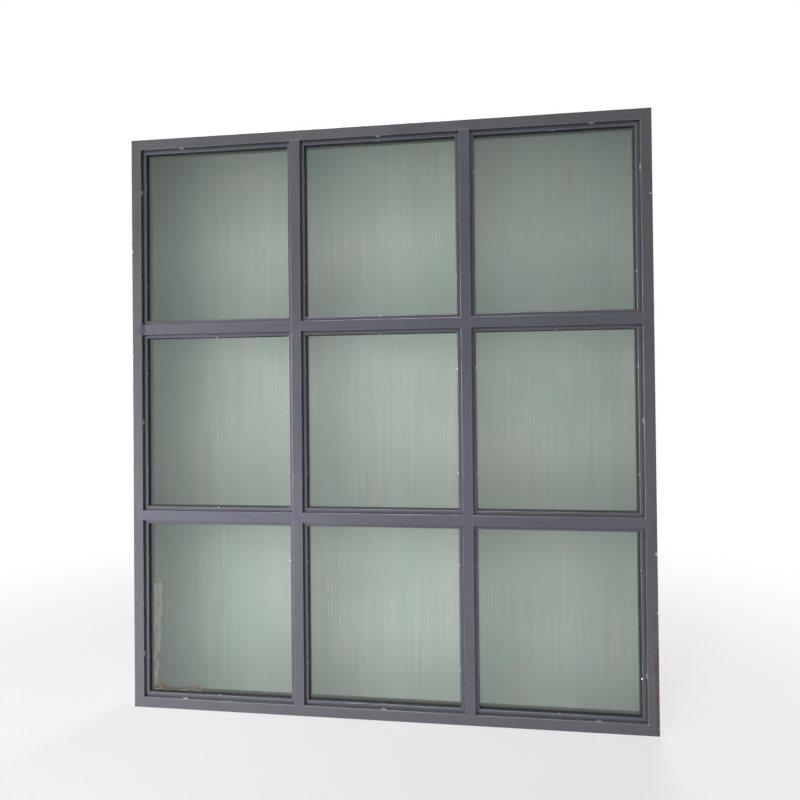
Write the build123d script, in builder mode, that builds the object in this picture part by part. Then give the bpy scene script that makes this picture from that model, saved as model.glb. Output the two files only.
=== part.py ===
"""Fixed blast-resistant window: a welded tube grid with nine laminated lights, millimetres, +Z up.

X runs along the width, Y through the depth with the outer face at -Y, and the origin lies under
the middle of the sill.
"""

import os

from build123d import *

os.makedirs("parts", exist_ok=True)

# Overall size and grid.
overall_width = 2000.0
overall_height = 2260.0
columns = ("left", "centre", "right")
rows = ("bottom", "middle", "top")

# Rectangular steel tube of the frame and grid.
member_face = 40.0
member_wall = 3.0
member_radius = 2.0

# Glazing build-up through the depth, from the outer face inwards.
bead_recess = 14.0
bead_depth = 10.0
gasket_thickness = 3.0
glass_thickness = 20.0
stop_depth = 22.0
stop_recess = 8.0

# Strips around each light.
strip_face = 14.0
strip_wall = 1.5
strip_radius = 2.0
mitre_kerf = 0.4
edge_clearance = 5.0
lip_width = 2.0
lip_height = 3.0
lip_chamfer = 1.0

# Wall fixings in the outer tubes, in front of the beads: an anchor hole in the outer wall, and a
# slot opposite it that lets the anchor and its driver in.
fixing_diameter = 9.0
access_length = 18.0
access_width = 9.0
fixing_corner_distance = 210.0

# Values that follow from the ones above.
member_depth = bead_recess + bead_depth + 2 * gasket_thickness + glass_thickness + stop_depth + stop_recess
front_y = -member_depth / 2
bead_front_y = front_y + bead_recess
bead_rear_y = bead_front_y + bead_depth
glass_front_y = bead_rear_y + gasket_thickness
glass_rear_y = glass_front_y + glass_thickness
stop_front_y = glass_rear_y + gasket_thickness
stop_rear_y = stop_front_y + stop_depth
fixing_y = front_y + (member_wall + bead_recess) / 2
light_width = (overall_width - (len(columns) + 1) * member_face) / len(columns)
light_height = (overall_height - (len(rows) + 1) * member_face) / len(rows)
column_pitch = light_width + member_face
row_pitch = light_height + member_face
half_width = overall_width / 2


def column_x(index):
    """Middle of a column of lights."""
    return -half_width + member_face + light_width / 2 + index * column_pitch


def row_z(index):
    """Middle of a row of lights."""
    return member_face + light_height / 2 + index * row_pitch


def tube_section(across, along):
    """Hollow section with rounded outer corners, drawn into the sketch that is open."""
    RectangleRounded(across, along, member_radius)
    Rectangle(across - 2 * member_wall, along - 2 * member_wall, mode=Mode.SUBTRACT)


def keep_part(name, part):
    part.label = name
    export_step(part, f"parts/{name}.step")


# Mitre planes through three corners; each one's normal points into the jamb.
low_mitre = Plane(origin=(-half_width, 0, 0), z_dir=(-1, 0, 1))
high_mitre = Plane(origin=(-half_width, 0, overall_height), z_dir=(-1, 0, -1))
right_low_mitre = Plane(origin=(half_width, 0, 0), z_dir=(1, 0, 1))

# Planes on the outer faces at the fixings, with X along the member.
jamb_fixings = [
    Plane(origin=(-half_width, fixing_y, z), x_dir=(0, 0, 1), z_dir=(-1, 0, 0))
    for z in (fixing_corner_distance, overall_height / 2, overall_height - fixing_corner_distance)
]
sill_fixings = [
    Plane(origin=(x, fixing_y, 0), x_dir=(1, 0, 0), z_dir=(0, 0, -1))
    for x in (fixing_corner_distance - half_width, 0, half_width - fixing_corner_distance)
]


def cut_fixings(outer_planes):
    """Anchor holes and access slots of one outer member, in the part that is open."""
    with Locations(*outer_planes):
        Hole(fixing_diameter / 2, depth=member_wall)
    with BuildSketch(*[plane.offset(-member_face) for plane in outer_planes]) as slots:
        SlotOverall(access_length, access_width)
    extrude(slots.sketch, amount=member_wall, mode=Mode.SUBTRACT)


# Outer frame: the left jamb and the sill are drawn, the right jamb and the head are their mirrors.
with BuildPart() as left_jamb:
    with BuildSketch(Plane.XY):
        with Locations((-half_width + member_face / 2, 0)):
            tube_section(member_face, member_depth)
    extrude(amount=overall_height)
    split(bisect_by=low_mitre, keep=Keep.TOP)
    split(bisect_by=high_mitre, keep=Keep.TOP)
    cut_fixings(jamb_fixings)
keep_part("left_jamb", left_jamb.part)

with BuildPart() as right_jamb:
    mirror(left_jamb.part, about=Plane.YZ)
keep_part("right_jamb", right_jamb.part)

with BuildPart() as sill_rail:
    with BuildSketch(Plane.YZ.offset(-half_width)):
        with Locations((0, member_face / 2)):
            tube_section(member_depth, member_face)
    extrude(amount=overall_width)
    split(bisect_by=low_mitre, keep=Keep.BOTTOM)
    split(bisect_by=right_low_mitre, keep=Keep.BOTTOM)
    cut_fixings(sill_fixings)
keep_part("sill_rail", sill_rail.part)

with BuildPart() as head_rail:
    mirror(sill_rail.part, about=Plane.XY.offset(overall_height / 2))
keep_part("head_rail", head_rail.part)

# Grid: the mullions run from sill to head, the transoms are short lengths between the uprights.
for name, index in (("left_mullion", 0), ("right_mullion", 1)):
    with BuildPart() as mullion:
        with BuildSketch(Plane.XY.offset(member_face)):
            with Locations((column_x(index) + column_pitch / 2, 0)):
                tube_section(member_face, member_depth)
        extrude(amount=overall_height - 2 * member_face)
    keep_part(name, mullion.part)

for level, index in (("lower", 0), ("upper", 1)):
    for column, side in enumerate(columns):
        with BuildPart() as transom:
            with BuildSketch(Plane.YZ.offset(column_x(column) - light_width / 2)):
                with Locations((0, row_z(index) + row_pitch / 2)):
                    tube_section(member_depth, member_face)
            extrude(amount=light_width)
        keep_part(f"{level}_transom_{side}", transom.part)


# The pieces of a light are drawn once, about X = Z = 0, and then set in each light.
def facing(y):
    """Plane at a depth, looking out of the front, with X to the right and Z up."""
    return Plane(origin=(0, y, 0), x_dir=(1, 0, 0), z_dir=(0, -1, 0))


def ring(inset, face):
    """Rectangular ring that starts at an inset from the light's edge, drawn into the open sketch."""
    Rectangle(light_width - 2 * inset, light_height - 2 * inset)
    Rectangle(
        light_width - 2 * (inset + face),
        light_height - 2 * (inset + face),
        mode=Mode.SUBTRACT,
    )


def mitred_strips(front, rear, shown_end):
    """Four hollow strips lining a light between two depths, parted by a kerf at each mitre.

    The edge next to the glass is rounded on the shown end: 0 is the front, -1 the rear.
    """
    with BuildPart() as strips:
        with BuildSketch(facing(rear)):
            ring(0, strip_face)
        extrude(amount=rear - front)
        shown_face = strips.faces().sort_by(Axis.Y)[shown_end]
        fillet(shown_face.inner_wires().edges(), strip_radius)
        with BuildSketch(facing(rear - strip_wall)):
            ring(strip_wall, strip_face - 2 * strip_wall)
        extrude(amount=rear - front - 2 * strip_wall, mode=Mode.SUBTRACT)
        for side in (-1, 1):
            for end in (-1, 1):
                corner = (side * light_width / 2, (front + rear) / 2, end * light_height / 2)
                with Locations(Plane(origin=corner, x_dir=(side, 0, -end), z_dir=(0, -1, 0))):
                    Box(mitre_kerf, 4 * strip_face, 2 * (rear - front), mode=Mode.SUBTRACT)
    return strips.part


with BuildPart() as pane:
    with BuildSketch(facing(glass_rear_y)):
        Rectangle(light_width - 2 * edge_clearance, light_height - 2 * edge_clearance)
    extrude(amount=glass_thickness)

# A gasket is a flat band on the glass and a lip, chamfered to a wedge, up the strip's inner side.
with BuildPart() as front_gasket:
    with BuildSketch(facing(glass_front_y)):
        ring(edge_clearance, strip_face + lip_width - edge_clearance)
    extrude(amount=gasket_thickness)
    with BuildSketch(facing(bead_rear_y)):
        ring(strip_face, lip_width)
    extrude(amount=lip_height)
    lip_end = front_gasket.faces().sort_by(Axis.Y)[0]
    chamfer(lip_end.inner_wires().edges(), lip_chamfer)

beads = mitred_strips(bead_front_y, bead_rear_y, 0)
stops = mitred_strips(stop_front_y, stop_rear_y, -1)
middle_of_glass = Plane.XZ.offset(-(glass_front_y + glass_rear_y) / 2)

for row, height in enumerate(rows):
    for column, side in enumerate(columns):
        for kind, piece in (("glass", pane.part), ("bead", beads), ("stop", stops)):
            with BuildPart() as placed:
                with Locations((column_x(column), 0, row_z(row))):
                    add(piece)
            keep_part(f"{kind}_{height}_{side}", placed.part)

    with BuildPart() as gaskets:
        for column in range(len(columns)):
            with Locations((column_x(column), 0, row_z(row))):
                add(front_gasket.part)
        mirror(about=middle_of_glass)
    keep_part(f"gaskets_{height}_row", gaskets.part)
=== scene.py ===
"""Looks of the fixed blast-resistant window, in metres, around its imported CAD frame.

The front is at -Y. The CAD nodes keep their shapes and get materials; screws, caps, weld seams and
residue are added here.
"""

import math
import random

import bmesh
import bpy
from mathutils import Matrix, Vector, noise


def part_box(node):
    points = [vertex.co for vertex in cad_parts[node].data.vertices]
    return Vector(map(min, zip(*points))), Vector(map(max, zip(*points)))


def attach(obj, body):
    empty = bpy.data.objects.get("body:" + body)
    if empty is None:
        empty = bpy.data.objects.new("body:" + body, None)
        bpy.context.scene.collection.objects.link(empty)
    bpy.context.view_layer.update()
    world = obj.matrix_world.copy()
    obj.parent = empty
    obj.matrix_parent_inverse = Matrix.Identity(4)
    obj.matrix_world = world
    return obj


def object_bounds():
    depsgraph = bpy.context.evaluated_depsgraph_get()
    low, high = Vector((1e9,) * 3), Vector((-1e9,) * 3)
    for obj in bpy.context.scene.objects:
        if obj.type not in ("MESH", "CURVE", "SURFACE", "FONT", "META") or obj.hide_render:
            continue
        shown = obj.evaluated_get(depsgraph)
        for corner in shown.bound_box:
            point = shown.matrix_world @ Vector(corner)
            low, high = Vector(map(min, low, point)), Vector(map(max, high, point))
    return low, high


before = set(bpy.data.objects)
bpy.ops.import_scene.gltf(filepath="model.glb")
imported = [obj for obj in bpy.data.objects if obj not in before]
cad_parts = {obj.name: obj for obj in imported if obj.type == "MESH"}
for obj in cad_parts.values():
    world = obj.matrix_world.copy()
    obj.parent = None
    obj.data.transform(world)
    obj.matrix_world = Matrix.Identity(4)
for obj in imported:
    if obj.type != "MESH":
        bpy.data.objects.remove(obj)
cad_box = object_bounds()

COLUMNS = ("left", "centre", "right")
ROWS = ("bottom", "middle", "top")
MM = 0.001
X, Y, Z = Vector((1, 0, 0)), Vector((0, 1, 0)), Vector((0, 0, 1))

# Sizes of the solids that the added pieces sit on. The strips and gaskets hide a pane's edge.
TUBE_FACE = 40 * MM
TUBE_RADIUS = 2 * MM
STRIP_FACE = 14 * MM
FIXING_CORNER = 210 * MM
FIXING_Y = -31.5 * MM
GLASS_Y = -13 * MM
GLASS_HIDDEN = 11 * MM

# Colours in linear light. The slate paint is a level of grey with a cast, which differs between the
# outer frame, the grid and the strips around the panes.
PAINT = 0.088
STRIP_PAINT = 0.97 * PAINT
FILLER_PAINT = 1.05 * PAINT
WELD_PAINT = 1.12 * PAINT
# Pale level that the paint reaches near the floor: painted light from below.
PAINTED_LOW_LIGHT = 0.265
OUTER_CAST = (0.99, 0.97, 1.12)
GRID_CAST = (0.96, 0.98, 1.27)
STRIP_CAST = (0.97, 0.975, 1.20)
FLECK_CAST = (1, 0.99, 1.12)
# Pale that rounded edges go to: painted highlight together with worn paint.
EDGE_HIGHLIGHT_AND_WEAR = (0.353, 0.353, 0.374, 1)
# Dusty colour of ledges; on the stops its heavy share is also painted light.
DUST_AND_LIGHT = (0.32, 0.315, 0.305, 1)
# Dark for painted shade in corners and recesses, and around the filler's rim.
PAINTED_SHADE = (0.018, 0.018, 0.022, 1)
# Pale primer colour, also used for painted highlights at corners.
PRIMER_AND_GLINT = (0.50, 0.48, 0.44, 1)
BROWN = (0.055, 0.032, 0.022, 1)
DARK_RUST = (0.092, 0.045, 0.046, 1)
PALE_RUST = (0.16, 0.09, 0.094, 1)
WHITE = (1, 1, 1, 1)


class Nodes:
    """A node tree, with short ways to add and join its nodes."""

    def __init__(self, tree):
        self.tree = tree

    def add(self, kind, inputs=None, **settings):
        node = self.tree.nodes.new(kind)
        for name, value in settings.items():
            setattr(node, name, value)
        for key, value in (inputs or {}).items():
            self.feed(node.inputs[key], value)
        return node

    def feed(self, socket, value):
        if isinstance(value, bpy.types.NodeSocket):
            self.tree.links.new(value, socket)
        else:
            socket.default_value = value

    def span(self, value, low, high, start=0.0, end=1.0):
        """Eases from start to end while value goes from low to high."""
        node = self.add(
            "ShaderNodeMapRange",
            {"Value": value, "From Min": low, "From Max": high, "To Min": start, "To Max": end},
            interpolation_type="SMOOTHSTEP",
        )
        return node.outputs[0]

    def maths(self, operation, first, second):
        node = self.add("ShaderNodeMath", {0: first, 1: second}, operation=operation)
        return node.outputs[0]

    def times(self, first, second):
        return self.maths("MULTIPLY", first, second)

    def most(self, first, second):
        return self.maths("MAXIMUM", first, second)

    def axes(self, vector):
        """The X, Y and Z of a vector, by name."""
        return self.add("ShaderNodeSeparateXYZ", {0: vector}).outputs

    def coordinate(self, kind):
        return self.add("ShaderNodeTexCoord").outputs[kind]


class Stage(Nodes):
    """Nodes of the world, the floor or the wall behind, which tell the kinds of ray apart."""

    def __init__(self, tree):
        super().__init__(tree)
        tree.nodes.clear()

    def ray(self, kind):
        return self.add("ShaderNodeLightPath").outputs[kind]

    def direct(self):
        return self.ray("Is Camera Ray")

    def reflected(self):
        """1 for what mirrors and glass show."""
        return self.most(self.ray("Is Glossy Ray"), self.ray("Is Transmission Ray"))


class Graph(Nodes):
    """A material's nodes around its Principled shader."""

    def __init__(self, name, settings):
        self.material = bpy.data.materials.new(name)
        self.material.use_nodes = True
        super().__init__(self.material.node_tree)
        self.shader = self.tree.nodes["Principled BSDF"]
        for socket, value in settings.items():
            self.shader.inputs[socket].default_value = value
        self.place = self.coordinate("Object")

    def noise(self, scale, detail=2.0, roughness=0.5, stretch=(1, 1, 1)):
        """Noise from 0 to 1, with features about 1/scale metres wide."""
        moved = self.add("ShaderNodeMapping", {"Vector": self.place, "Scale": stretch})
        node = self.add(
            "ShaderNodeTexNoise",
            {"Vector": moved.outputs[0], "Scale": scale, "Detail": detail, "Roughness": roughness},
        )
        return node.outputs["Fac"]

    def blend(self, factor, first, second):
        node = self.add("ShaderNodeMix", {0: factor, 6: first, 7: second}, data_type="RGBA")
        return node.outputs[2]

    def bump(self, height, strength, distance, below=None):
        inputs = {"Height": height, "Strength": strength, "Distance": distance}
        if below is not None:
            inputs["Normal"] = below
        return self.add("ShaderNodeBump", inputs).outputs[0]

    def normal(self):
        return self.add("ShaderNodeNewGeometry").outputs["Normal"]

    def up_facing(self, low, high):
        """1 on faces that look up, 0 on upright ones."""
        return self.span(self.axes(self.normal())["Z"], low, high)

    def rounded_edge(self, low, high):
        """1 on rounded edges, where the normal lies between the axes, 0 on flat faces."""
        size = self.add("ShaderNodeVectorMath", {0: self.normal()}, operation="ABSOLUTE")
        axes = self.axes(size.outputs["Vector"])
        flat = self.most(self.most(axes["X"], axes["Y"]), axes["Z"])
        return self.span(flat, low, high, 1.0, 0.0)

    def low_down(self, top, share):
        """Share at the floor, 0 from a height on."""
        return self.span(self.axes(self.place)["Z"], 0.0, top, share, 0.0)

    def crevice(self, reach, low, high):
        """1 in corners and narrow recesses, 0 in the open."""
        node = self.add("ShaderNodeAmbientOcclusion", {"Distance": reach}, samples=8)
        return self.span(node.outputs["AO"], low, high, 1.0, 0.0)

    def near(self, point, radius):
        """1 within a ragged spot around a point."""
        gap = self.add("ShaderNodeVectorMath", {0: self.place, 1: point}, operation="DISTANCE")
        ragged = self.times(self.noise(260, 3), radius)
        inside = self.maths("SUBTRACT", gap.outputs["Value"], ragged)
        return self.span(inside, 0.35 * radius, 0.5 * radius, 1.0, 0.0)

    def creeping(self, side, width, top):
        """Ragged share that is widest at the floor and narrows up the edge at X = side."""
        axes = self.axes(self.place)
        reach = self.span(axes["Z"], 0.4 * top, top, width, 0.0)
        fine = self.times(self.noise(110, 4, 0.65), 0.7 * width)
        broad = self.times(self.maths("SUBTRACT", self.noise(16, 3), 0.5), width)
        ragged = self.maths("ADD", fine, broad)
        inward = self.maths("ADD", self.maths("SUBTRACT", side, axes["X"]), ragged)
        return self.span(self.maths("SUBTRACT", inward, reach), -2 * MM, 2 * MM, 1.0, 0.0)

    def shade(self, **sockets):
        for name, value in sockets.items():
            self.feed(self.shader.inputs[name.replace("_", " ")], value)
        return self.material


def tinted(level, cast):
    """A level of grey with a cast."""
    return (level * cast[0], level * cast[1], level * cast[2], 1)


def painted_steel(
    name, level, cast, paint_spots=(), peel=0.12, gloss=0.5, edge_share=0.85, edge=EDGE_HIGHLIGHT_AND_WEAR, dust_and_light=0.4, rust=None
):
    """Semi-gloss paint: mottled, paler low down as painted light, pale on edges as painted highlight and
    worn paint, dusty on ledges, where a heavy share is also painted light, and darker in corners as
    painted shade.

    Paint spots are ragged, chipped paint and painted highlights, each with a point, a size and a colour.
    Rust is the X of an outer edge, and how wide and how high brown creeps along it.
    """
    g = Graph(name, {"Specular IOR Level": gloss, "IOR": 1.5})
    mottled = g.span(g.noise(2.3, 4), 0.3, 0.7)
    colour = g.blend(mottled, tinted(0.9 * level, cast), tinted(1.1 * level, cast))
    flecks = g.span(g.noise(55, 4, 0.65), 0.42, 0.72, 0.0, 0.22)
    colour = g.blend(flecks, colour, tinted(1.45 * level, FLECK_CAST))
    # Paler towards the floor: painted light from below.
    colour = g.blend(g.low_down(2.0, 0.15), colour, tinted(PAINTED_LOW_LIGHT, cast))
    # Dusty on ledges; a heavy share also brightens them as painted light.
    patchy = g.span(g.noise(34, 5, 0.6), 0.3, 0.75, 0.2 * dust_and_light, dust_and_light)
    colour = g.blend(g.times(g.up_facing(0.55, 0.95), patchy), colour, DUST_AND_LIGHT)
    # Paler on rounded edges in patches: painted highlight together with worn paint.
    patchy = g.span(g.noise(16, 4, 0.6), 0.3, 0.7, 0.3 * edge_share, edge_share)
    colour = g.blend(g.times(g.rounded_edge(0.80, 0.97), patchy), colour, edge)
    patchy = g.span(g.noise(20, 3), 0.2, 0.8, 0.5, 0.85)
    # Darker in corners and narrow recesses: painted shade.
    colour = g.blend(g.times(g.crevice(9 * MM, 0.42, 0.82), patchy), colour, PAINTED_SHADE)
    rough = g.span(g.noise(12, 4, 0.6), 0.25, 0.75, 0.32, 0.46)
    for point, radius, spot_colour in paint_spots:
        spot = g.near(point, radius)
        colour = g.blend(spot, colour, spot_colour)
        rough = g.most(rough, g.times(spot, 0.7))
    if rust:
        patchy = g.span(g.noise(70, 5, 0.65), 0.3, 0.6, 0.45, 0.95)
        eaten = g.times(g.creeping(*rust), patchy)
        colour = g.blend(eaten, colour, g.blend(g.noise(300, 3), DARK_RUST, PALE_RUST))
        rough = g.most(rough, g.times(eaten, 0.8))
    fine = g.bump(g.noise(420, 2), peel, 0.4 * MM)
    normal = g.bump(g.noise(38, 3), 0.05, 1.2 * MM, fine)
    return g.shade(Base_Color=colour, Roughness=rough, Normal=normal)


def tinted_glass(name, smudges=()):
    """Laminated green-grey glass with faint clouds, upright wiping streaks and a few dry smudges.

    A smudge has a point and a size.
    """
    g = Graph(name, {"IOR": 1.5, "Transmission Weight": 0.86, "Roughness": 0.0})
    streaks = g.times(g.noise(70, 3, 0.6, stretch=(1, 1, 0.025)), g.noise(2.6, 3))
    clouds = g.span(g.noise(4.5, 3, 0.55, stretch=(1, 1, 0.35)), 0.35, 0.65)
    wiped = g.blend(clouds, (0.326, 0.372, 0.330, 1), (0.304, 0.384, 0.336, 1))
    clear = g.blend(clouds, (0.374, 0.418, 0.374, 1), (0.352, 0.428, 0.382, 1))
    colour = g.blend(g.span(streaks, 0.14, 0.38), wiped, clear)
    for point, radius in smudges:
        dry = g.times(g.near(point, radius), g.span(g.noise(120, 4), 0.3, 0.7, 0.1, 0.6))
        colour = g.blend(dry, colour, (0.47, 0.54, 0.49, 1))
    return g.shade(Base_Color=colour)


def rubber():
    """Black gasket with a dry bloom."""
    g = Graph("black_rubber", {"Specular IOR Level": 0.35})
    bloom = g.span(g.noise(60, 4, 0.6), 0.35, 0.8)
    colour = g.blend(bloom, (0.008, 0.008, 0.009, 1), (0.024, 0.024, 0.026, 1))
    rough = g.span(bloom, 0.0, 1.0, 0.5, 0.75)
    return g.shade(Base_Color=colour, Roughness=rough, Normal=g.bump(g.noise(900, 2), 0.2, 0.15 * MM))


def zinc():
    """Bright zinc-plated steel with fine turning marks."""
    g = Graph("zinc_plate", {"Metallic": 1.0})
    colour = g.blend(g.noise(240, 3), (0.72, 0.73, 0.74, 1), (0.92, 0.92, 0.90, 1))
    rough = g.span(g.noise(500, 3), 0.3, 0.7, 0.18, 0.34)
    return g.shade(Base_Color=colour, Roughness=rough, Normal=g.bump(g.noise(1500, 2), 0.15, 0.1 * MM))


def cap_plastic():
    """Pale moulded plastic, a little soiled."""
    g = Graph("cap_plastic", {"Specular IOR Level": 0.45})
    soiled = g.span(g.noise(90, 4), 0.3, 0.75)
    colour = g.blend(soiled, (0.52, 0.52, 0.52, 1), (0.34, 0.34, 0.35, 1))
    rough = g.span(g.noise(140, 3), 0.3, 0.7, 0.38, 0.55)
    return g.shade(Base_Color=colour, Roughness=rough, Normal=g.bump(g.noise(1400, 2), 0.1, 0.1 * MM))


def dried_residue():
    """Pale, crumbly sealant and dust, which lets a little light through."""
    g = Graph("dried_residue", {"Specular IOR Level": 0.3, "Transmission Weight": 0.3})
    crumbs = g.span(g.noise(170, 5, 0.7), 0.38, 0.66)
    colour = g.blend(crumbs, (0.050, 0.051, 0.038, 1), (0.30, 0.285, 0.24, 1))
    return g.shade(
        Base_Color=colour,
        Roughness=g.span(g.noise(90, 3), 0.3, 0.7, 0.75, 0.95),
        Normal=g.bump(g.noise(420, 4), 0.6, 0.5 * MM),
    )


def old_film():
    """Milky see-through strip of protective film, clearer where it still sticks."""
    g = Graph("old_film", {"Specular IOR Level": 0.45, "IOR": 1.45, "Transmission Weight": 0.84})
    stuck = g.span(g.noise(48, 5, 0.65, stretch=(1, 1, 0.4)), 0.32, 0.66)
    colour = g.blend(stuck, (0.80, 0.82, 0.77, 1), (0.57, 0.60, 0.55, 1))
    return g.shade(
        Base_Color=colour,
        Roughness=g.span(stuck, 0.0, 1.0, 0.5, 0.35),
        Normal=g.bump(g.noise(150, 3, stretch=(1, 1, 0.3)), 0.25, 0.6 * MM),
    )


def add_piece(name, bm, material, sharp=40):
    """Turns a bmesh into a piece of the window and lets it ride on the frame."""
    bmesh.ops.recalc_face_normals(bm, faces=bm.faces)
    mesh = bpy.data.meshes.new(name)
    bm.to_mesh(mesh)
    bm.free()
    mesh.shade_smooth()
    mesh.set_sharp_from_angle(angle=math.radians(sharp))
    mesh.materials.append(material)
    piece = bpy.data.objects.new(name, mesh)
    bpy.context.scene.collection.objects.link(piece)
    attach(piece, "root")


def axes_at(origin, across, along, out):
    """Matrix that takes local X, Y, Z to three directions at an origin."""
    return Matrix.Translation(origin) @ Matrix((across, along, out)).transposed().to_4x4()


def skin(bm, rings, close_first=False):
    """Joins rings of equal length into one surface and closes the last one."""
    for inner, outer in zip(rings, rings[1:]):
        count = len(inner)
        for i in range(count):
            j = (i + 1) % count
            bm.faces.new((inner[i], inner[j], outer[j], outer[i]))
    if close_first:
        bm.faces.new(rings[0][::-1])
    bm.faces.new(rings[-1])


def shares(count):
    """Evenly spaced shares from 0 to 1."""
    return [i / count for i in range(count + 1)]


# Pan-head screw in millimetres: radius and height of its head's rings, and its cross recess.
SCREW_HEAD = ((2.5, 0.0), (2.5, 0.5), (2.38, 0.95), (2.05, 1.4), (1.65, 1.65))
CROSS_REACH, CROSS_HALF, CROSS_TOP, CROSS_DEPTH = 1.25, 0.36, 1.78, 1.15
CROSS_NARROWING = 0.62
QUARTERS = (0, math.pi / 2, math.pi, 1.5 * math.pi)

# Depth of the screws, their shares of an upright bead's length, and how far they turn at most.
SCREW_Y = -21.5 * MM
SCREW_SHARES = (0.22, 0.78)
SCREW_TURN = 1.5


def add_screw(bm, place, turn):
    """Cross-recessed screw head on a surface; its rings run through the corners of the cross."""
    tip = math.atan2(CROSS_HALF, CROSS_REACH)
    halfway = 0.5 * (CROSS_REACH + CROSS_HALF)
    arm = [
        (0.0, (CROSS_REACH, 0.0)),
        (tip, (CROSS_REACH, CROSS_HALF)),
        (math.radians(30), (halfway, CROSS_HALF)),
        (math.radians(45), (CROSS_HALF, CROSS_HALF)),
        (math.radians(60), (CROSS_HALF, halfway)),
        (math.pi / 2 - tip, (CROSS_HALF, CROSS_REACH)),
    ]
    spin = place @ Matrix.Rotation(turn, 4, "Z")

    def ring(points):
        return [bm.verts.new(spin @ Vector((x * MM, y * MM, z * MM))) for x, y, z in points]

    rings = []
    for radius, height in SCREW_HEAD:
        rings.append(ring(
            (radius * math.cos(a + q), radius * math.sin(a + q), height)
            for q in QUARTERS for a, _ in arm
        ))
    for share, height in ((1.0, CROSS_TOP), (CROSS_NARROWING, CROSS_TOP - CROSS_DEPTH)):
        corners = []
        for q in QUARTERS:
            c, s = math.cos(q), math.sin(q)
            corners += [(share * (x * c - y * s), share * (x * s + y * c), height) for _, (x, y) in arm]
        rings.append(ring(corners))
    skin(bm, rings)


# Oblong cap over a fixing's access slot in millimetres: inset from its outline, and height.
CAP_LENGTH, CAP_WIDTH = 19.4, 10.6
CAP_PROFILE = (
    (0.0, -0.4), (0.0, 0.7), (0.25, 1.2), (0.8, 1.65), (1.7, 1.9), (2.5, 1.8), (3.0, 1.6), (4.4, 1.55),
)
CAP_POINTS = 36


def add_cap(bm, place):
    """Domed plastic cap with a shallow dish, its long side along local X."""
    reach = (CAP_LENGTH - CAP_WIDTH) / 2
    rings = []
    for inset, height in CAP_PROFILE:
        radius = CAP_WIDTH / 2 - inset
        ring = []
        for i in range(CAP_POINTS):
            a = 2 * math.pi * (i + 0.5) / CAP_POINTS
            x = math.copysign(reach, math.cos(a)) + radius * math.cos(a)
            y = radius * math.sin(a)
            ring.append(bm.verts.new(place @ Vector((x * MM, y * MM, height * MM))))
        rings.append(ring)
    skin(bm, rings)


# Weld seam where a tube's end meets the rounded edge of another tube. At its ends it drops with the
# ending tube's edge, and its far side follows after a lag.
WELD_TOE = 2.4 * MM
WELD_LAG = 1.2 * MM
WELD_CROWN = 0.8 * MM
WELD_ROOT = 2.6 * MM
WELD_SUNK = 0.06 * MM


def add_weld(bm, place, seed):
    """Seam along local Y, with the through tube at +X and the flush face at Z = 0.

    It fills the groove beside the through tube's rounded edge, and follows the ending tube's own
    rounded edges down at both ends.
    """
    half, r = TUBE_FACE / 2, TUBE_RADIUS
    offset = Vector((seed * 3.7, seed * 1.3, 0.0))
    rings = []
    for along in shares(44):
        t = -half + 2 * half * along
        past = max(0.0, abs(t) - (half - r))
        drop = r - math.sqrt(max(0.0, r * r - past * past))
        far_drop = max(0.0, drop - WELD_LAG)
        edge = r - math.sqrt(max(0.0, r * r - (r - far_drop) ** 2))
        ripple = noise.noise(offset + Vector((t * 420, 0, 0)))
        wander = 0.5 * MM * noise.noise(offset + Vector((t * 160, 5, 0)))
        start = Vector((-WELD_TOE + wander, 0, -drop - WELD_SUNK))
        end = Vector((edge + WELD_TOE * (1 - drop / r) + wander, 0, -far_drop - WELD_SUNK))
        crown = WELD_CROWN * (0.75 + 0.45 * ripple) * (1 - 0.5 * drop / r)
        section = []
        for s in shares(8):
            point = start.lerp(end, s)
            rough = 0.12 * MM * noise.noise(offset + Vector((t * 700, s * 5, 9)))
            point.z += crown * math.sin(math.pi * s) ** 0.8 + rough * math.sin(math.pi * s)
            section.append(point)
        section.append(Vector((0.3 * edge, 0, -drop - WELD_ROOT)))
        rings.append([bm.verts.new(place @ (p + Vector((0, t, 0)))) for p in section])
    skin(bm, rings, close_first=True)


def level_at(steps, t):
    """Value at t along a line of (t, value) points."""
    for (t0, a), (t1, b) in zip(steps, steps[1:]):
        if t <= t1:
            return a + (b - a) * (t - t0) / (t1 - t0)
    return steps[-1][1]


def add_patch(bm, rows, behind):
    """Closes rows of front points into a thin solid whose back lies flat at a depth."""
    front = [[bm.verts.new(p) for p in row] for row in rows]
    back = [[bm.verts.new((p[0], behind, p[2])) for p in row] for row in rows]
    last = len(rows) - 1
    for grid, turn in ((front, 1), (back, -1)):
        for a, b in zip(grid, grid[1:]):
            for i in range(len(a) - 1):
                bm.faces.new((a[i], a[i + 1], b[i + 1], b[i])[::turn])
    for j in range(last):
        for i in (0, -1):
            bm.faces.new((front[j][i], front[j + 1][i], back[j + 1][i], back[j][i]))
    for j in (0, last):
        for i in range(len(rows[j]) - 1):
            bm.faces.new((front[j][i], front[j][i + 1], back[j][i + 1], back[j][i]))


# Depth by which the backs of the film and the sealant reach into the glass.
RESIDUE_SUNK = 0.1 * MM

# Strip of protective film left on a pane: share of the way down, and width in millimetres.
FILM_INSET, FILM_TOP, FILM_LENGTH, FILM_SLANT = 13 * MM, 485 * MM, 425 * MM, 11 * MM
FILM_WIDTHS = (
    (0, 36), (0.42, 34), (0.55, 29), (0.63, 23), (0.66, 12), (0.7, 10), (0.73, 20), (0.88, 17), (1, 10),
)


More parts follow.
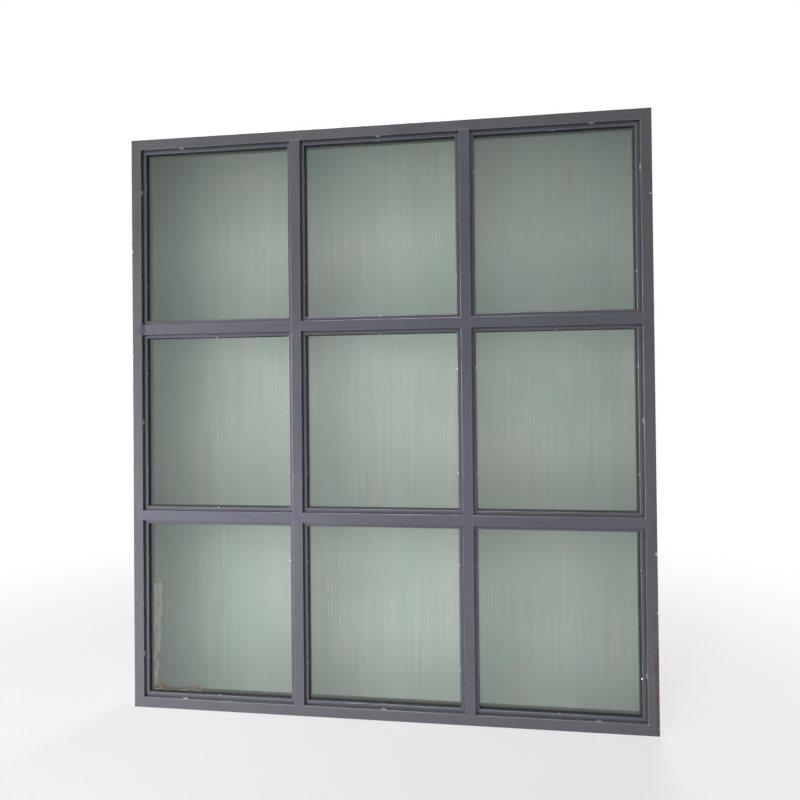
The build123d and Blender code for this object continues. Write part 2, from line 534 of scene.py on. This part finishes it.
def add_film(bm, left, glass_y):
    """Film with a slanting cut end, a straight left edge and a torn right one that lifts a little."""
    rows = []
    for t in shares(120):
        torn = 2.4 * noise.noise((t * 16, 3, 0)) + 1.3 * noise.noise((t * 60, 8, 0))
        width = MM * (level_at(FILM_WIDTHS, t) + torn)
        row = []
        for s in shares(8):
            x = left + 0.8 * MM * noise.noise((t * 9, 1, 0)) + width * s
            z = FILM_TOP - FILM_LENGTH * t + FILM_SLANT * (s - 0.5) * (1 - t) ** 6
            curl = 0.5 * s ** 4 * (1 + noise.noise((t * 22, 5, 0)))
            lift = 0.25 + curl + 0.2 * noise.noise((x * 150, z * 60, 0))
            row.append((x, glass_y - MM * lift, z))
        rows.append(row)
    add_patch(bm, rows, glass_y + RESIDUE_SUNK)


# Heap of dried sealant along a pane's lower edge: share of its length, and height in millimetres.
HEAP_INSET, HEAP_RISE, HEAP_LENGTH = 10 * MM, 3.5 * MM, 205 * MM
HEAP_HEIGHTS = (
    (0, 9), (0.05, 17), (0.14, 21), (0.24, 19), (0.33, 12), (0.42, 6), (0.52, 4),
    (0.6, 7), (0.7, 15), (0.8, 24), (0.87, 26), (0.93, 17), (0.97, 7), (1, 1.5),
)


def add_heap(bm, left, bottom, glass_y):
    """Crumbly ridge that is thick at its foot and frays out up the glass."""
    rows = []
    for t in shares(140):
        x = left + HEAP_LENGTH * t
        torn = 3.0 * noise.noise((t * 30, 2, 0)) + 2.2 * noise.noise((t * 85, 6, 0))
        torn += 1.2 * noise.noise((t * 210, 4, 0))
        tall = MM * max(1.0, level_at(HEAP_HEIGHTS, t) + torn)
        row = []
        for s in shares(12):
            z = bottom + tall * s
            lumps = 0.55 * noise.noise((x * 190, z * 190, 4)) + 0.4 * noise.noise((x * 520, z * 520, 7))
            thick = (0.3 + 2.2 * (1 - s) ** 1.3) * (1 + lumps) * min(1.0, 12 * (1 - t) + 0.2)
            row.append((x, glass_y - MM * max(0.2, thick), z))
        rows.append(row)
    add_patch(bm, rows, glass_y + RESIDUE_SUNK)


# Pat of filler on the face of a joint.
FILLER_WIDTH, FILLER_HEIGHT, FILLER_CROWN, FILLER_SUNK = 24 * MM, 52 * MM, 1.6 * MM, 0.05 * MM
FILLER_RINGS, FILLER_POINTS = 9, 40


def add_filler(bm, place):
    """Smooth pat with a steep rim, a bit uneven in outline."""
    rings = []
    for k in range(FILLER_RINGS):
        share = 1 - k / FILLER_RINGS
        height = FILLER_CROWN * (1 - share ** 8) - FILLER_SUNK
        ring = []
        for i in range(FILLER_POINTS):
            a = 2 * math.pi * i / FILLER_POINTS
            uneven = 1 + 0.12 * noise.noise((2.2 * math.cos(a), 2.2 * math.sin(a), 3))
            x = share * uneven * FILLER_WIDTH / 2 * math.cos(a)
            y = share * uneven * FILLER_HEIGHT / 2 * math.sin(a)
            ring.append(bm.verts.new(place @ Vector((x, y, height))))
        rings.append(ring)
    skin(bm, rings, close_first=True)


# Stage: the light of the background, and the floor's half size and drop below the sill.
SKY_LIGHT = 0.20
FLOOR_SIZE, FLOOR_DROP = 20, 0.2 * MM


def add_sheet(name, size, place, material):
    """Flat square sheet of the stage."""
    bm = bmesh.new()
    bmesh.ops.create_grid(bm, x_segments=8, y_segments=8, size=size, matrix=place)
    mesh = bpy.data.meshes.new(name)
    bm.to_mesh(mesh)
    bm.free()
    mesh.materials.append(material)
    sheet = bpy.data.objects.new(name, mesh)
    bpy.context.scene.collection.objects.link(sheet)
    return sheet


def add_sky():
    """White background with a weak soft light, which mirrors show darkening upward."""
    world = bpy.data.worlds.new("studio")
    bpy.context.scene.world = world
    world.use_nodes = True
    sky = Stage(world.node_tree)
    soft = sky.add("ShaderNodeBackground", {"Color": (0.97, 0.98, 1.0, 1), "Strength": SKY_LIGHT})
    fading = sky.span(sky.axes(sky.coordinate("Generated"))["Z"], 0.0, 0.5, 1.0, 0.5)
    graded = sky.add("ShaderNodeBackground", {"Color": WHITE, "Strength": fading})
    white = sky.add("ShaderNodeBackground", {"Color": WHITE, "Strength": 1.0})
    lit = {0: sky.reflected(), 1: soft.outputs[0], 2: graded.outputs[0]}
    mirrored = sky.add("ShaderNodeMixShader", lit)
    seen = {0: sky.direct(), 1: mirrored.outputs[0], 2: white.outputs[0]}
    shown = sky.add("ShaderNodeMixShader", seen)
    sky.add("ShaderNodeOutputWorld", {"Surface": shown.outputs[0]})


def add_floor():
    """Pale floor that keeps the window's shadow and fades into the white background."""
    material = bpy.data.materials.new("floor")
    material.use_nodes = True
    ground = Stage(material.node_tree)
    reach = ground.add("ShaderNodeVectorMath", {0: ground.coordinate("Object")}, operation="LENGTH")
    fading = ground.span(reach.outputs["Value"], 1.2, 3.4, 0.62, 1.0)
    share = ground.most(ground.times(ground.direct(), fading), ground.reflected())
    matt = ground.add("ShaderNodeBsdfDiffuse", {"Color": (0.88, 0.88, 0.88, 1)})
    white = ground.add("ShaderNodeEmission", {"Color": WHITE, "Strength": 1.0})
    shown = ground.add("ShaderNodeMixShader", {0: share, 1: matt.outputs[0], 2: white.outputs[0]})
    ground.add("ShaderNodeOutputMaterial", {"Surface": shown.outputs[0]})
    floor = add_sheet("floor", FLOOR_SIZE, Matrix(), material)
    floor.location.z = -FLOOR_DROP


# Wall close behind the window. A ramp says what it follows, from where to where, and from which to
# which share of the light. The pane ramps start anew behind each pane and leave its edges in shade.
WALL_Y, WALL_SIZE, WALL_LIGHT = 0.12, 2.2, 1.33
PANE_START_X, PANE_PITCH_X = -1.038, 0.6925
PANE_START_Z, PANE_PITCH_Z = -0.033, 0.7844
WALL_RAMPS = (
    ("height", 0.2, 2.1, 1.0, 0.885),
    ("height", 1.68, 2.28, 1.0, 0.56),
    ("width", -1.04, -0.45, 0.36, 1.0),
    ("width", 0.3, 1.0, 1.0, 0.62),
    ("pane width", 0.0, 0.40, 0.62, 1.0),
    ("pane width", 0.645, PANE_PITCH_X, 1.0, 0.62),
    ("pane height", 0.0, 0.38, 0.66, 1.0),
    ("pane height", 0.56, PANE_PITCH_Z, 1.0, 0.66),
)


def add_backdrop():
    """Pale wall with the grid's soft shadow, which the glass alone shows."""
    material = bpy.data.materials.new("backdrop")
    material.use_nodes = True
    wall = Stage(material.node_tree)
    axes = wall.axes(wall.coordinate("Object"))
    from_left = wall.maths("SUBTRACT", axes["X"], PANE_START_X)
    from_foot = wall.maths("SUBTRACT", axes["Z"], PANE_START_Z)
    followed = {
        "height": axes["Z"],
        "width": axes["X"],
        "pane width": wall.maths("FLOORED_MODULO", from_left, PANE_PITCH_X),
        "pane height": wall.maths("FLOORED_MODULO", from_foot, PANE_PITCH_Z),
    }
    strength = WALL_LIGHT
    for key, low, high, start, end in WALL_RAMPS:
        strength = wall.times(strength, wall.span(followed[key], low, high, start, end))
    glow = wall.add("ShaderNodeEmission", {"Color": WHITE, "Strength": strength})
    wall.add("ShaderNodeOutputMaterial", {"Surface": glow.outputs[0]})
    backdrop = add_sheet("backdrop", WALL_SIZE, axes_at((0, WALL_Y, WALL_SIZE), X, Z, -Y), material)
    backdrop.visible_camera = False
    backdrop.visible_diffuse = False
    backdrop.visible_glossy = False
    backdrop.visible_shadow = False


def add_lamp(name, place, size, power, aim=(0, 0, 1.1)):
    """Soft lamp, aimed at the middle of the window if not told otherwise, not seen through the glass."""
    lamp = bpy.data.lights.new(name, "AREA")
    lamp.shape = "RECTANGLE"
    lamp.size, lamp.size_y = size
    lamp.energy = power
    holder = bpy.data.objects.new(name, lamp)
    bpy.context.scene.collection.objects.link(holder)
    holder.location = place
    holder.rotation_euler = (Vector(aim) - holder.location).to_track_quat("-Z", "Y").to_euler()
    holder.visible_camera = False
    holder.visible_transmission = False
    return holder


def add_lights():
    """Lamps that light the paint, and two that only put a sheen on it."""
    add_lamp("key", (-4.4, -8.6, 5.6), (2.4, 2.4), 300).visible_glossy = False
    add_lamp("fill", (-2.3, -2.4, 1.3), (1.8, 1.8), 46).visible_glossy = False
    low = add_lamp("low", (-1.4, -2.1, 0.5), (1.6, 0.4), 5.5, (-0.8, 0, 0.2))
    low.visible_glossy = False
    low.data.spread = math.radians(84)
    add_lamp("rear", (1.8, 4.2, 3.4), (2.4, 2.4), 150).visible_glossy = False
    add_lamp("side", (-6.0, -0.7, 0.8), (0.8, 4.0), 1200).visible_diffuse = False
    add_lamp("top", (-0.6, -0.1, 6.6), (4.0, 3.0), 1300).visible_diffuse = False


# The photograph's view, from a fit to the edges of the grid.
CAMERA_PLACE = (0.3339, -2.1995, 1.2518)
CAMERA_RIGHT = Vector((0.993091, 0.116906, -0.010152))
CAMERA_UP = Vector((0.011073, -0.007233, 0.999912))
CAMERA_BACK = Vector((0.116822, -0.993117, -0.008478))
CAMERA_LENS, CAMERA_SENSOR = 25.8925, 36
CAMERA_SHIFT_X, CAMERA_SHIFT_Y = -0.0012, -0.0195


def add_camera():
    """Camera at the photograph's viewpoint."""
    data = bpy.data.cameras.new("camera")
    data.sensor_fit = "HORIZONTAL"
    data.sensor_width = CAMERA_SENSOR
    data.lens = CAMERA_LENS
    data.shift_x = CAMERA_SHIFT_X
    data.shift_y = CAMERA_SHIFT_Y
    camera = bpy.data.objects.new("camera", data)
    bpy.context.scene.collection.objects.link(camera)
    camera.matrix_world = axes_at(CAMERA_PLACE, CAMERA_RIGHT, CAMERA_UP, CAMERA_BACK)
    bpy.context.scene.camera = camera


# Size of the window, and the inner side of its outer tubes.
width = cad_box[1][0] - cad_box[0][0]
height = cad_box[1][2] - cad_box[0][2]
inner = width / 2 - TUBE_FACE

# Materials of the CAD nodes. The jambs have chips, the right one rust and two painted highlights at its
# inner corners; a pane has smudges.
right_chips_and_glints = (
    ((0.998, -0.039, 0.651), 8 * MM, PRIMER_AND_GLINT),
    ((0.999, -0.039, 0.440), 5 * MM, PRIMER_AND_GLINT),
    ((0.992, -0.040, 1.950), 4 * MM, PRIMER_AND_GLINT),
    # Pale spots at the inner corners, where rounded edges meet: painted highlights.
    ((0.9605, -0.038, 0.7805), 4 * MM, PRIMER_AND_GLINT),
    ((0.9605, -0.038, 0.0395), 4 * MM, PRIMER_AND_GLINT),
    ((0.9985, -0.039, 0.028), 7 * MM, PRIMER_AND_GLINT),
)
left_chips = (
    ((-0.999, -0.039, 2.023), 6 * MM, BROWN),
    ((-0.999, -0.039, 1.842), 9 * MM, BROWN),
    ((-0.998, -0.039, 1.814), 5 * MM, PRIMER_AND_GLINT),
    ((-0.999, -0.039, 0.004), 6 * MM, BROWN),
)
smudges = (
    ((0.752, GLASS_Y, 0.428), 10 * MM),
    ((0.707, GLASS_Y, 0.092), 16 * MM),
    ((0.690, GLASS_Y, 0.076), 9 * MM),
)
rust = (width / 2, 24 * MM, 0.5)
rail_paint = painted_steel("frame_paint", PAINT, OUTER_CAST)
grid_paint = painted_steel("grid_paint", PAINT, GRID_CAST)
dressing = {
    "head": rail_paint,
    "sill": rail_paint,
    "bead": painted_steel("bead_paint", STRIP_PAINT, STRIP_CAST),
    # The stops' ledges are heavily dusty, which also stands in as painted light where the glass keeps
    # the lamps off.
    "stop": painted_steel("stop_paint", STRIP_PAINT, STRIP_CAST, dust_and_light=0.9),
    "glass": tinted_glass("tinted_glass"),
    "gaskets": rubber(),
    "right_jamb": painted_steel("right_jamb_paint", PAINT, OUTER_CAST, right_chips_and_glints, rust=rust),
    "left_jamb": painted_steel("left_jamb_paint", PAINT, OUTER_CAST, left_chips),
    "glass_bottom_right": tinted_glass("smudged_glass", smudges),
}
for name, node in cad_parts.items():
    kind = name.split("_")[0]
    node.data.materials.clear()
    node.data.materials.append(dressing.get(name) or dressing.get(kind, grid_paint))

# Two screws in each upright bead and one in each level bead, in the side that faces the opening.
chance = random.Random(7)
screw_metal = zinc()
for row in ROWS:
    for column in COLUMNS:
        low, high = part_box(f"bead_{row}_{column}")
        places = []
        for share in SCREW_SHARES:
            z = low.z + share * (high.z - low.z)
            places.append(axes_at((low.x + STRIP_FACE, SCREW_Y, z), Y, Z, X))
            places.append(axes_at((high.x - STRIP_FACE, SCREW_Y, z), -Y, Z, -X))
        x = (low.x + high.x) / 2
        places.append(axes_at((x, SCREW_Y, low.z + STRIP_FACE), X, Y, Z))
        places.append(axes_at((x, SCREW_Y, high.z - STRIP_FACE), X, -Y, -Z))
        bm = bmesh.new()
        for place in places:
            add_screw(bm, place, chance.uniform(0, SCREW_TURN))
        add_piece(f"bead_screws_{row}_{column}", bm, screw_metal)

# Caps over the access slots of the twelve wall fixings.
bm = bmesh.new()
for z in (FIXING_CORNER, height / 2, height - FIXING_CORNER):
    add_cap(bm, axes_at((-inner, FIXING_Y, z), Z, -Y, X))
    add_cap(bm, axes_at((inner, FIXING_Y, z), Z, Y, -X))
for x in (FIXING_CORNER - width / 2, 0, width / 2 - FIXING_CORNER):
    add_cap(bm, axes_at((x, FIXING_Y, TUBE_FACE), X, Y, Z))
    add_cap(bm, axes_at((x, FIXING_Y, height - TUBE_FACE), X, -Y, -Z))
add_piece("fixing_caps", bm, cap_plastic())

# Film and dried sealant in the corner of the lower left pane.
low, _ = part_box("glass_bottom_left")
left, bottom = low.x + GLASS_HIDDEN, low.z + GLASS_HIDDEN
bm = bmesh.new()
add_film(bm, left + FILM_INSET, low.y)
add_piece("film_strip", bm, old_film())
bm = bmesh.new()
add_heap(bm, left + HEAP_INSET, bottom + HEAP_RISE, low.y)
add_piece("sealant_heap", bm, dried_residue())

# Filler over the joint of the left jamb and the upper transom, with painted shade around its rim.
low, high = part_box("upper_transom_left")
bm = bmesh.new()
add_filler(bm, axes_at((low.x, low.y, (low.z + high.z) / 2), X, Z, -Y))
filler_paint = painted_steel("filler_paint", FILLER_PAINT, OUTER_CAST, gloss=0.02, edge_share=0.95, edge=PAINTED_SHADE)
add_piece("filler_smear", bm, filler_paint)

# Welds at both ends of each transom and mullion, on the front and the rear.
weld_paint = painted_steel("weld_paint", WELD_PAINT, GRID_CAST, peel=0.5, edge_share=0.0)
seed = 0
for level in ("lower", "upper"):
    for column in COLUMNS:
        low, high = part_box(f"{level}_transom_{column}")
        z = (low.z + high.z) / 2
        bm = bmesh.new()
        for x, into in ((low.x, -X), (high.x, X)):
            for y, out in ((low.y, -Y), (high.y, Y)):
                seed += 1
                add_weld(bm, axes_at((x, y, z), into, out.cross(into), out), seed)
        add_piece(f"weld_{level}_{column}", bm, weld_paint, sharp=60)
for side in ("left", "right"):
    low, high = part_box(f"{side}_mullion")
    x = (low.x + high.x) / 2
    bm = bmesh.new()
    for z, into in ((low.z, -Z), (high.z, Z)):
        for y, out in ((low.y, -Y), (high.y, Y)):
            seed += 1
            add_weld(bm, axes_at((x, y, z), into, out.cross(into), out), seed)
    add_piece(f"weld_{side}_mullion", bm, weld_paint, sharp=60)

bpy.context.scene.view_settings.view_transform = "Standard"
add_sky()
add_floor()
add_lights()
add_backdrop()
add_camera()
